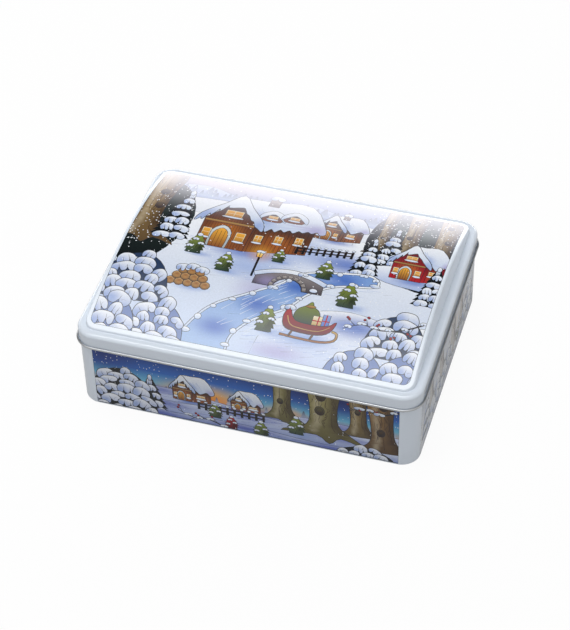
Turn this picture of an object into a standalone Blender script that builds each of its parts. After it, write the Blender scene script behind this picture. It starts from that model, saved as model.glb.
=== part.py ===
"""Praline tin: a rounded rectangular tinplate tin with a slip-on lid.

Three pieces of sheet, each a section carried round the same rounded plan: the
body wall, the base plate seamed into its foot, and the drawn lid with its
arched picture panel. Units are metres, +Z is up and the front faces -Y. The
origin is on the table, under the middle of the tin.

A section is a list of (inset, height) points on the sheet's outer face. Inset
is measured inwards from the body wall's outer face, so it is negative outside.
"""

import math

import bmesh
import bpy

# The plan, on the outside of the body wall
BODY_LENGTH = 0.250
BODY_DEPTH = 0.189
CORNER_RADIUS = 0.014

# The sheet, the gap between pieces that meet, and the lid's slip fit on the wall
SHEET = 0.00025
FIT_GAP = 0.0003
SLIP_GAP = 0.0007

# The lid from its shelf down to the rolled edge
SHELF_HEIGHT = 0.0682
SHOULDER_RADIUS = 0.0028
SKIRT_DEPTH = 0.0114
LID_CURL_RADIUS = 0.00095

# The lid from its shelf in to the arched panel
SHELF_INSET = 0.00485
PANEL_INSET = 0.0082
STEP_HEIGHT = 0.0025
STEP_FOOT_RADIUS = 0.00035
STEP_HEAD_RADIUS = 0.0012
STEP_LEAN = 85
PANEL_RISE = 0.0143

# The body wall's rolled top edge and folded foot
BODY_CURL_RADIUS = 0.0011
FOOT_RADIUS = 0.0004
FOOT_HEIGHT = 0.0034

# The base plate's edge and its stiffening step
BASE_BEND_RADIUS = 0.0006
BASE_RIM_WIDTH = 0.0070
BASE_STEP_WIDTH = 0.0016
BASE_STEP_HEIGHT = 0.0010
BASE_STEP_RADIUS = 0.0007
BASE_STEP_LEAN = 50

# How far a rolled edge turns, in degrees, before its end meets the wall
CURL_TURN = 285

# The smallest plan radius that a deep inset leaves
LEAST_RADIUS = 0.001

# How finely bends are faceted
CORNER_STEPS = 6
PANEL_STEPS = 16
BEND_STEPS = 3
CURL_STEPS = 9

ENAMEL_WHITE = (0.745, 0.795, 0.855, 1.0)
PRINT_BLUE = (0.33, 0.45, 0.66, 1.0)
TINPLATE_GREY = (0.55, 0.56, 0.57, 1.0)

# What the sizes above fix
LID_OUTSET = SLIP_GAP + SHEET
FOOT_WIDTH = 3 * SHEET + 2 * FIT_GAP
BASE_HEIGHT = FOOT_HEIGHT + FIT_GAP + SHEET
BASE_EDGE_INSET = SHEET + FIT_GAP


def clear_scene():
    for thing in list(bpy.data.objects):
        bpy.data.objects.remove(thing, do_unlink=True)


def make_material(name, colour, metallic, roughness):
    material = bpy.data.materials.new(name)
    material.use_nodes = True
    shader = material.node_tree.nodes["Principled BSDF"]
    shader.inputs["Base Color"].default_value = colour
    shader.inputs["Metallic"].default_value = metallic
    shader.inputs["Roughness"].default_value = roughness
    material.diffuse_color = colour
    return material


def arc(inset, height, radius, start, end, steps):
    """A bend about (inset, height): 0 degrees points outwards, 90 up, 180 inwards."""
    points = []
    for step in range(steps + 1):
        angle = math.radians(start + (end - start) * step / steps)
        points.append((inset - radius * math.cos(angle), height + radius * math.sin(angle)))
    return points


def plan_stations(end_steps):
    """Places round the rounded plan, counter-clockwise from the right side.

    Each is (corner x, corner y, normal x, normal y): the corner bend's centre
    as a share of its own position, and the way the wall faces. The two ends
    get end_steps spaces, because the lid's panel arches along them.
    """
    stations = []
    for side_x, side_y, start in ((1, 1, 0), (-1, 1, 90), (-1, -1, 180), (1, -1, 270)):
        for step in range(CORNER_STEPS + 1):
            angle = math.radians(start + 90 * step / CORNER_STEPS)
            stations.append((side_x, side_y, math.cos(angle), math.sin(angle)))
        if side_x * side_y < 0:
            for step in range(1, end_steps):
                share = 1 - 2 * step / end_steps
                stations.append((side_x, side_y * share, side_x, 0.0))
    return stations


def plan_point(station, inset):
    corner_x, corner_y, normal_x, normal_y = station
    radius = max(CORNER_RADIUS - inset, LEAST_RADIUS)
    x = corner_x * (BODY_LENGTH / 2 - inset - radius) + normal_x * radius
    y = corner_y * (BODY_DEPTH / 2 - inset - radius) + normal_y * radius
    return x, y


def arch_radius():
    half_chord = BODY_DEPTH / 2 - PANEL_INSET
    return (half_chord ** 2 + PANEL_RISE ** 2) / (2 * PANEL_RISE)


def arch_height(y):
    """How far the arched panel stands above its own front and back edges."""
    half_chord = BODY_DEPTH / 2 - PANEL_INSET
    radius = arch_radius()
    return math.sqrt(radius ** 2 - min(abs(y), half_chord) ** 2) - (radius - PANEL_RISE)


def step_bend(inset, height, width, rise, foot_radius, head_radius, lean, top_slope):
    """A pressed step: a bend up out of the flat, a leaning riser, and a bend into the top.

    The top slopes up at top_slope, in degrees, and passes through the step's
    far end. The head of the riser is placed so that its bend touches both.
    """
    lean_angle, slope = math.radians(lean), math.radians(top_slope)
    turn = lean_angle - slope
    foot_x = foot_radius * math.sin(lean_angle)
    foot_z = foot_radius * (1 - math.cos(lean_angle))
    below_top = (rise - foot_z) * math.cos(slope) - (width - foot_x) * math.sin(slope)
    riser = (below_top - head_radius * (1 - math.cos(turn))) / math.sin(turn)
    head_x = foot_x + riser * math.cos(lean_angle) + head_radius * math.sin(lean_angle)
    head_z = foot_z + riser * math.sin(lean_angle) - head_radius * math.cos(lean_angle)
    foot = arc(inset, height + foot_radius, foot_radius, -90, -90 - lean, BEND_STEPS)
    head = arc(inset + head_x, height + head_z, head_radius, 90 - lean, 90 - top_slope, BEND_STEPS)
    return foot + head + [(inset + width, height + rise)]


def lid_section(station):
    """Curl, skirt, shoulder, shelf and step, up to the panel's edge."""
    curl_bend = LID_CURL_RADIUS - SHEET
    curl_height = SHELF_HEIGHT - SKIRT_DEPTH
    section = arc(-LID_OUTSET - curl_bend, curl_height, curl_bend, 180 + CURL_TURN, 180, CURL_STEPS)
    section += arc(SHOULDER_RADIUS - LID_OUTSET, SHELF_HEIGHT - SHOULDER_RADIUS,
                   SHOULDER_RADIUS, 0, 90, BEND_STEPS + 1)
    edge_y = plan_point(station, PANEL_INSET)[1]
    rise = STEP_HEIGHT + arch_height(edge_y)
    steepness = math.degrees(math.asin(abs(edge_y) / arch_radius()))
    top_slope = steepness * abs(station[3])
    section += step_bend(SHELF_INSET, SHELF_HEIGHT, PANEL_INSET - SHELF_INSET, rise,
                         STEP_FOOT_RADIUS, STEP_HEAD_RADIUS, STEP_LEAN, top_slope)
    return section


def body_top():
    """The body's rolled edge nests in the lid's rounded shoulder, a fit gap inside it."""
    aside = SHOULDER_RADIUS - LID_OUTSET - BODY_CURL_RADIUS
    apart = SHOULDER_RADIUS - SHEET - FIT_GAP - BODY_CURL_RADIUS
    return SHELF_HEIGHT - SHOULDER_RADIUS + math.sqrt(apart ** 2 - aside ** 2) + BODY_CURL_RADIUS


def body_section(station):
    """Folded foot, straight wall and the edge rolled inwards."""
    section = [(FOOT_WIDTH, FOOT_HEIGHT)]
    section += arc(FOOT_WIDTH - FOOT_RADIUS, FOOT_RADIUS, FOOT_RADIUS, -180, -90, BEND_STEPS)
    section += arc(FOOT_RADIUS, FOOT_RADIUS, FOOT_RADIUS, -90, 0, BEND_STEPS)
    section += arc(BODY_CURL_RADIUS, body_top() - BODY_CURL_RADIUS, BODY_CURL_RADIUS,
                   0, CURL_TURN, CURL_STEPS)
    return section


def base_section(station):
    """Edge turned down into the foot, rim, and the stiffening step."""
    section = [(BASE_EDGE_INSET, BASE_EDGE_INSET)]
    section += arc(BASE_EDGE_INSET + BASE_BEND_RADIUS, BASE_HEIGHT - BASE_BEND_RADIUS,
                   BASE_BEND_RADIUS, 0, 90, BEND_STEPS)
    section += step_bend(BASE_RIM_WIDTH, BASE_HEIGHT, BASE_STEP_WIDTH, BASE_STEP_HEIGHT,
                         BASE_STEP_RADIUS, BASE_STEP_RADIUS, BASE_STEP_LEAN, 0)
    return section


def panel_height(y):
    return SHELF_HEIGHT + STEP_HEIGHT + arch_height(y)


def close_panel(mesh, ring, material_index):
    """Strips from side to side close the innermost ring, front to back."""
    right = sorted((v for v in ring if v.co.x > 0), key=lambda v: v.co.y)
    left = sorted((v for v in ring if v.co.x < 0), key=lambda v: v.co.y)
    for near in range(len(right) - 1):
        face = mesh.faces.new((left[near], right[near], right[near + 1], left[near + 1]))
        face.material_index = material_index


def sheet_piece(name, section_at, end_steps, materials, panel_material=None):
    """One piece of sheet: its section at each place round the plan, thickened inwards.

    With a panel material, the last ring is closed by a panel. The materials are
    given for the outer face, and the inner face takes the last of them.
    """
    mesh = bmesh.new()
    stations = plan_stations(end_steps)
    columns = []
    for station in stations:
        column = []
        for inset, height in section_at(station):
            x, y = plan_point(station, inset)
            column.append(mesh.verts.new((x, y, height)))
        columns.append(column)
    for here, column in enumerate(columns):
        after = columns[(here + 1) % len(columns)]
        for row in range(len(column) - 1):
            mesh.faces.new((column[row], after[row], after[row + 1], column[row + 1]))
    if panel_material is not None:
        close_panel(mesh, [column[-1] for column in columns], panel_material)
    for face in mesh.faces:
        face.smooth = True

    data = bpy.data.meshes.new(name)
    mesh.to_mesh(data)
    mesh.free()
    piece = bpy.data.objects.new(name, data)
    for material in materials:
        data.materials.append(material)

    thickness = piece.modifiers.new("sheet", "SOLIDIFY")
    thickness.thickness = SHEET
    thickness.offset = -1
    thickness.use_even_offset = True
    thickness.material_offset = len(materials)
    thickness.material_offset_rim = len(materials)
    return piece


def main():
    clear_scene()
    tin = bpy.data.collections.new("praline_tin")
    bpy.context.scene.collection.children.link(tin)

    enamel = make_material("white_enamel", ENAMEL_WHITE, 0.0, 0.25)
    printed = make_material("printed_panel", PRINT_BLUE, 0.0, 0.25)
    tinplate = make_material("bare_tinplate", TINPLATE_GREY, 1.0, 0.3)

    body_wall = sheet_piece("body_wall", body_section, 1, (enamel, tinplate))
    base_plate = sheet_piece("base_plate", base_section, 1, (tinplate,), 0)
    lid = sheet_piece("lid", lid_section, PANEL_STEPS, (enamel, printed, tinplate), 1)
    for piece in (body_wall, base_plate, lid):
        tin.objects.link(piece)


main()
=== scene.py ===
import math
import random

import bpy
import numpy as np
from mathutils import Matrix, Vector
from mathutils.geometry import delaunay_2d_cdt


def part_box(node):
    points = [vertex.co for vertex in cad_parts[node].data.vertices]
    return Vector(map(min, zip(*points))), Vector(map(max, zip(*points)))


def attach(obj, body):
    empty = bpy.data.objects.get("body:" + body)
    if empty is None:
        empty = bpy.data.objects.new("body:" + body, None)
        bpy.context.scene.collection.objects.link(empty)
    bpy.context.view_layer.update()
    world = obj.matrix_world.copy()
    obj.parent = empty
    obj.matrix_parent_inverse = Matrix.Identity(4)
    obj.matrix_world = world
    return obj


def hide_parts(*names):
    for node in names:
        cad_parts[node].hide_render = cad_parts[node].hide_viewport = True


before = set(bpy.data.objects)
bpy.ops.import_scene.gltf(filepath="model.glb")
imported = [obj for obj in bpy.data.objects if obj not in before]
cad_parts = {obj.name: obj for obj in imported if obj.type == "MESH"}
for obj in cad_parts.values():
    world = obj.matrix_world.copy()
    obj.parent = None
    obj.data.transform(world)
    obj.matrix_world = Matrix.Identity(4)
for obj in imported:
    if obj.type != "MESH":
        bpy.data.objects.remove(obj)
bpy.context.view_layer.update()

# The body wall.
# One strip of tinplate, enamelled white and printed outside, bent round the plan
# and seamed at the back. Its top edge is rolled in and its foot is folded in.
MM = 0.001
wall_low, wall_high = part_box("body_wall")
BODY_LENGTH = wall_high.x - wall_low.x
BODY_DEPTH = wall_high.y - wall_low.y
BODY_TOP = wall_high.z
CORNER_RADIUS = 14 * MM
SHEET = 0.25 * MM
FIT_GAP = 0.3 * MM
BODY_CURL_RADIUS = 1.1 * MM
FOOT_RADIUS = 0.4 * MM
FOOT_HEIGHT = 3.4 * MM
FOOT_WIDTH = 3 * SHEET + 2 * FIT_GAP
PRINT_LOW = 1.0 * MM
PRINT_HIGH = 60.0 * MM
CURL_TURN = 285
CORNER_STEPS = 18
PRINT_WRAP = CORNER_RADIUS * math.radians(90 / CORNER_STEPS)
BEND_STEPS = 8
CURL_STEPS = 24


def bend(inset, height, radius, start, end, steps):
    """Section points (inset, height, facing) round a bend; 0 degrees faces out, 90 up."""
    turned = 0 if end > start else 180
    points = []
    for step in range(steps + 1):
        degrees = start + (end - start) * step / steps
        angle = math.radians(degrees)
        across, up = radius * math.cos(angle), radius * math.sin(angle)
        points.append((inset - across, height + up, degrees + turned))
    return points


def plan_stations(end_steps):
    """Places round the plan: the corner bend's centre as a share, and the wall's facing."""
    stations = []
    for side_x, side_y, start in ((1, 1, 0), (-1, 1, 90), (-1, -1, 180), (1, -1, 270)):
        for step in range(CORNER_STEPS + 1):
            angle = math.radians(start + 90 * step / CORNER_STEPS)
            stations.append((side_x, side_y, math.cos(angle), math.sin(angle)))
        if side_x * side_y < 0:
            for step in range(1, end_steps):
                stations.append((side_x, side_y * (1 - 2 * step / end_steps), side_x, 0.0))
    return stations


def plan_point(station, inset):
    """The place on the plan at a station, so far in from the wall's outer face."""
    corner_x, corner_y, normal_x, normal_y = station
    radius = CORNER_RADIUS - inset
    x = corner_x * (BODY_LENGTH / 2 - CORNER_RADIUS) + normal_x * radius
    y = corner_y * (BODY_DEPTH / 2 - CORNER_RADIUS) + normal_y * radius
    return x, y


def sheet_surface(stations, section_at):
    """Points and facings of a sheet's outer side, as arrays by station and row."""
    places, insets, facings = [], [], []
    for station in stations:
        section = section_at(station)
        places.append([(*plan_point(station, inset), height) for inset, height, _ in section])
        insets.append([inset for inset, _, _ in section])
        facings.append([math.radians(facing) for _, _, facing in section])
    places, insets, facings = np.array(places), np.array(insets), np.array(facings)

    # Along the ring the sheet follows the plan, and climbs where the section changes
    wall_way = np.array([(x, y, 0.0) for _, _, x, y in stations])[:, None, :]
    ring_way = np.array([(-y, x, 0.0) for _, _, x, y in stations])[:, None, :]
    before, after = np.roll(places, 1, axis=0), np.roll(places, -1, axis=0)
    apart = np.linalg.norm((after - before)[:, :, :2], axis=2)
    climb = (after[:, :, 2] - before[:, :, 2]) / apart
    drift = (np.roll(insets, -1, axis=0) - np.roll(insets, 1, axis=0)) / apart
    up = np.array((0.0, 0.0, 1.0))
    along = ring_way + climb[:, :, None] * up - drift[:, :, None] * wall_way
    across = np.cos(facings)[:, :, None] * up - np.sin(facings)[:, :, None] * wall_way
    normals = np.cross(along, across)
    normals /= np.linalg.norm(normals, axis=2)[:, :, None]
    return places, normals


def sheet_mesh(name, stations, section_at, left_out=None, closed=False, picture_meshes=()):
    """A sheet with both its sides: slot 0 is the outer finish, 1 the bare inside, 2 the print.

    left_out says which outer quads a picture takes the place of. A closed sheet has its
    innermost ring filled strip by strip, and on its outer side by the picture if it has one.
    """
    places, normals = sheet_surface(stations, section_at)
    inner_places = places - normals * SHEET
    count, rows = places.shape[:2]
    points = [Vector(p) for p in places.reshape(-1, 3)] + [Vector(p) for p in inner_places.reshape(-1, 3)]
    facings = list(normals.reshape(-1, 3)) + list(-normals.reshape(-1, 3))
    faces, slots = [], []
    inner_start = count * rows
    for here in range(count):
        after = (here + 1) % count
        for row in range(rows - 1):
            quad = (here * rows + row, after * rows + row, after * rows + row + 1, here * rows + row + 1)
            if left_out is None or not left_out(places[here][row], places[after][row + 1]):
                faces.append(quad)
                slots.append(0)
            faces.append(tuple(inner_start + corner for corner in reversed(quad)))
            slots.append(1)
        for row, turned in ((0, False), (rows - 1, True)):
            if row == rows - 1 and closed:
                continue
            edge = (here * rows + row, inner_start + here * rows + row,
                    inner_start + after * rows + row, after * rows + row)
            faces.append(tuple(reversed(edge)) if turned else edge)
            slots.append(1)
    for side in (0, 1) if closed else ():
        if side == 0 and picture_meshes:
            continue
        ring = [side * inner_start + here * rows + rows - 1 for here in range(count)]
        right = sorted((v for v in ring if points[v].x > 0), key=lambda v: points[v].y)
        left = sorted((v for v in ring if points[v].x < 0), key=lambda v: points[v].y)
        for near in range(len(right) - 1):
            strip = (left[near], right[near], right[near + 1], left[near + 1])
            faces.append(strip[::-1] if side else strip)
            slots.append(side)
    colours = [(1.0, 1.0, 1.0)] * sum(len(face) for face in faces)
    for picture_points, picture_facings, picture_faces, printed, inks in picture_meshes:
        start = len(points)
        points += [Vector(p) for p in picture_points]
        facings += list(picture_facings)
        faces += [tuple(start + corner for corner in face) for face in picture_faces.tolist()]
        slots += [2 if inked else 0 for inked in printed]
        colours += list(inks.reshape(-1, 3))
    return finished_mesh(name, points, faces, slots, facings, colours)


def finished_mesh(name, points, faces, slots, facings, colours):
    """A mesh object shaded by its worked-out facings, with an ink colour at each face corner."""
    data = bpy.data.meshes.new(name)
    data.from_pydata(points, [], faces)
    data.polygons.foreach_set("material_index", slots)
    data.polygons.foreach_set("use_smooth", [True] * len(faces))
    ink = data.color_attributes.new("ink", "FLOAT_COLOR", "CORNER")
    ink.data.foreach_set("color", np.insert(np.array(colours), 3, 1.0, axis=1).ravel())
    data.normals_split_custom_set_from_vertices([tuple(f) for f in facings])
    piece = bpy.data.objects.new(name, data)
    bpy.context.scene.collection.objects.link(piece)
    return piece


def body_section(station):
    """Folded foot, straight wall with the print's two heights, and the edge rolled inwards."""
    section = [(FOOT_WIDTH, FOOT_HEIGHT, 180)]
    section += bend(FOOT_WIDTH - FOOT_RADIUS, FOOT_RADIUS, FOOT_RADIUS, -180, -90, BEND_STEPS)
    section += bend(FOOT_RADIUS, FOOT_RADIUS, FOOT_RADIUS, -90, 0, BEND_STEPS)
    section += [(0.0, PRINT_LOW, 0), (0.0, PRINT_HIGH, 0)]
    section += bend(BODY_CURL_RADIUS, BODY_TOP - BODY_CURL_RADIUS, BODY_CURL_RADIUS,
                    0, CURL_TURN, CURL_STEPS)
    return section


def printed_side(low, high):
    """True for the wall between two corners and one step round each, where a picture goes."""
    across, along, _ = np.abs(low + high) / 2
    flat = (across < BODY_LENGTH / 2 - CORNER_RADIUS + PRINT_WRAP
            or along < BODY_DEPTH / 2 - CORNER_RADIUS + PRINT_WRAP)
    return flat and abs(high[2] - low[2]) > CORNER_RADIUS


# White enamel: stoved polyester over tinplate, under a clear varnish. It is a
# faintly blue white with a wet gloss, and the sheet's slight waves show in it.
def hex_linear(code):
    """An sRGB hex colour as linear red, green and blue."""
    values = [int(code[i : i + 2], 16) / 255 for i in (1, 3, 5)]
    return tuple(v / 12.92 if v <= 0.04045 else ((v + 0.055) / 1.055) ** 2.4 for v in values)


def add_node(tree, kind, settings=None, inputs=None):
    """A node with its settings, and its inputs set to values or joined to other nodes' outputs."""
    node = tree.nodes.new(kind)
    for key, value in (settings or {}).items():
        setattr(node, key, value)
    for key, value in (inputs or {}).items():
        if isinstance(value, bpy.types.NodeSocket):
            tree.links.new(value, node.inputs[key])
        else:
            node.inputs[key].default_value = value
    return node


def new_material(name):
    """A material, its node tree and its Principled shader."""
    material = bpy.data.materials.new(name)
    material.use_nodes = True
    return material, material.node_tree, material.node_tree.nodes["Principled BSDF"]


def set_inputs(node, values):
    """Sets a node's inputs to values, by their names."""
    for key, value in values.items():
        node.inputs[key].default_value = value


ENAMEL_COLOUR = "#E6EFFA"
PEEL_WAVE = 2.2 * MM
PEEL_DEPTH = 0.004 * MM
enamel, tree, shader = new_material("stoved_white_enamel")
set_inputs(shader, {
    "Base Color": (*hex_linear(ENAMEL_COLOUR), 1.0),
    "Roughness": 0.38,
    "IOR": 1.52,
    "Specular IOR Level": 0.25,
    "Coat Weight": 1.0,
    "Coat Roughness": 0.05,
    "Coat IOR": 1.5,
})
place = add_node(tree, "ShaderNodeTexCoord")
peel = add_node(tree, "ShaderNodeTexNoise", None, {
    "Vector": place.outputs["Object"], "Scale": 1 / PEEL_WAVE, "Detail": 1.0})
peel_bump = add_node(tree, "ShaderNodeBump", None, {
    "Height": peel.outputs["Fac"], "Distance": PEEL_DEPTH, "Strength": 0.6})
tree.links.new(peel_bump.outputs["Normal"], shader.inputs["Coat Normal"])

# Bare tinplate: steel with a flow-melted tin coat under a thin clear lacquer, left
# unprinted inside. It mirrors softly, with fine lines along the way it was rolled.
# The real lines are some 0.1 mm apart; they are drawn coarser so that they show.
ROLL_LINE = 0.5 * MM
ROLL_LENGTH = 45 * MM
ROLL_DEPTH = 0.004 * MM
CLOUD_SIZE = 30 * MM
tinplate, tree, shader = new_material("lacquered_tinplate")
set_inputs(shader, {
    "Metallic": 1.0,
    "Coat Weight": 0.4,
    "Coat Roughness": 0.12,
    "Coat IOR": 1.5,
})
place = add_node(tree, "ShaderNodeTexCoord")
facing = add_node(tree, "ShaderNodeSeparateXYZ", None, {0: place.outputs["Normal"]})
end_wall = add_node(tree, "ShaderNodeMath", {"operation": "ABSOLUTE"}, {0: facing.outputs["X"]})
way = add_node(tree, "ShaderNodeMix", {"data_type": "VECTOR"}, {
    0: end_wall.outputs[0],
    4: (1 / ROLL_LENGTH, 1 / ROLL_LINE, 1 / ROLL_LINE),
    5: (1 / ROLL_LINE, 1 / ROLL_LENGTH, 1 / ROLL_LINE)})
stretched = add_node(tree, "ShaderNodeVectorMath", {"operation": "MULTIPLY"}, {
    0: place.outputs["Object"], 1: way.outputs[1]})
lines = add_node(tree, "ShaderNodeTexNoise", None, {
    "Vector": stretched.outputs[0], "Scale": 1.0, "Detail": 3.0})
clouds = add_node(tree, "ShaderNodeTexNoise", None, {
    "Vector": place.outputs["Object"], "Scale": 1 / CLOUD_SIZE, "Detail": 4.0})
tone = add_node(tree, "ShaderNodeMix", {"data_type": "RGBA"}, {
    0: lines.outputs["Fac"], 6: (*hex_linear("#B6B9BC"), 1.0), 7: (*hex_linear("#D4D6D8"), 1.0)})
polish = add_node(tree, "ShaderNodeMapRange", None, {
    "Value": clouds.outputs["Fac"], "From Min": 0.3, "From Max": 0.7, "To Min": 0.26, "To Max": 0.38})
scored = add_node(tree, "ShaderNodeBump", None, {
    "Height": lines.outputs["Fac"], "Distance": ROLL_DEPTH, "Strength": 0.7})
tree.links.new(tone.outputs[2], shader.inputs["Base Color"])
tree.links.new(polish.outputs[0], shader.inputs["Roughness"])
tree.links.new(scored.outputs["Normal"], shader.inputs["Normal"])

# The pictures, a plain winter theme in litho inks on the white enamel. Each is drawn in
# millimetres as shapes laid one over another: a darker line round a fill that shades from
# top to foot, and soft washes of one ink. Points GRID apart carry the shading.
SNOW, SNOW_SHADE, BLUE_SHADE, DEEP_BLUE = "#F6F9FE", "#C6D5EF", "#8FA8DC", "#456CC2"
INK_LINE, NIGHT_GREEN, FIR_GREEN, MOSS = "#232A36", "#10171A", "#2F433C", "#8A983F"
TIMBER, DARK_TIMBER, OCHRE, AMBER, CREAM = "#8A5030", "#33211C", "#C09F5B", "#F2B040", "#F0E4C6"
RED, DARK_RED, STONE, LILAC = "#B5242F", "#5E111D", "#958E8E", "#A9A0D2"
GRID = 3.2


def smooth(points, closed=True, steps=3):
    """A smooth line through the points."""
    p = np.array(points, float)
    count = len(p)
    line = []
    for i in range(count if closed else count - 1):
        a, b, c, d = p[i - 1], p[i], p[(i + 1) % count], p[(i + 2) % count]
        if not closed:
            a, d = p[max(i - 1, 0)], p[min(i + 2, count - 1)]
        for t in np.arange(steps) / steps:
            line.append(0.5 * (2 * b + (c - a) * t + (2 * a - 5 * b + 4 * c - d) * t ** 2
                               + (3 * b - a - 3 * c + d) * t ** 3))
    if not closed:
        line.append(p[-1])
    return np.array(line)


def grown(outline, width):
    """An anticlockwise outline moved outwards by a width."""
    ahead = np.roll(outline, -1, axis=0) - np.roll(outline, 1, axis=0)
    ahead /= np.maximum(np.linalg.norm(ahead, axis=1), 1e-6)[:, None]
    return outline + np.stack((ahead[:, 1], -ahead[:, 0]), axis=1) * width


def brush(points, width, end_width=None):
    """The outline of a brush stroke that follows the points."""
    line = smooth(points, closed=False)
    ahead = np.gradient(line, axis=0)
    ahead /= np.maximum(np.linalg.norm(ahead, axis=1), 1e-6)[:, None]
    half = np.linspace(width, width if end_width is None else end_width, len(line))[:, None] / 2
    side = np.stack((-ahead[:, 1], ahead[:, 0]), axis=1) * half
    return np.concatenate((line - side, (line + side)[::-1]))


def oval(x, y, across, up, steps=10):
    """An oval's outline, from its middle and its half width and height."""
    angles = np.arange(steps) * 2 * math.pi / steps
    return np.stack((x + across * np.cos(angles), y + up * np.sin(angles)), axis=1)


def slab(x0, y0, x1, y1):
    """A rectangle's outline, from two of its corners."""
    return np.array([(x0, y0), (x1, y0), (x1, y1), (x0, y1)], float)


def clipped(outline, border):
    """The part of an outline inside a convex anticlockwise border."""
    for a, b in zip(border, np.roll(border, -1, axis=0)):
        if len(outline) < 3:
            return outline
        way = b - a
        depth = way[0] * (outline[:, 1] - a[1]) - way[1] * (outline[:, 0] - a[0])
        if depth.min() >= 0:
            continue
        kept = []
        for i in range(len(outline)):
            here, last = depth[i], depth[i - 1]
            if (here >= 0) != (last >= 0):
                kept.append(outline[i - 1] + (outline[i] - outline[i - 1]) * last / (last - here))
            if here >= 0:
                kept.append(outline[i])
        outline = np.array(kept)
    return outline


def inside(points, outline):
    """Which points an outline goes round."""
    turns = np.zeros(len(points), int)
    x, y = points[:, 0], points[:, 1]
    for (x0, y0), (x1, y1) in zip(outline, np.roll(outline, -1, axis=0)):
        side = (x1 - x0) * (y - y0) - (x - x0) * (y1 - y0)
        turns += (y0 <= y) & (y < y1) & (side > 0)
        turns -= (y1 <= y) & (y < y0) & (side < 0)
    return turns != 0


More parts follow.
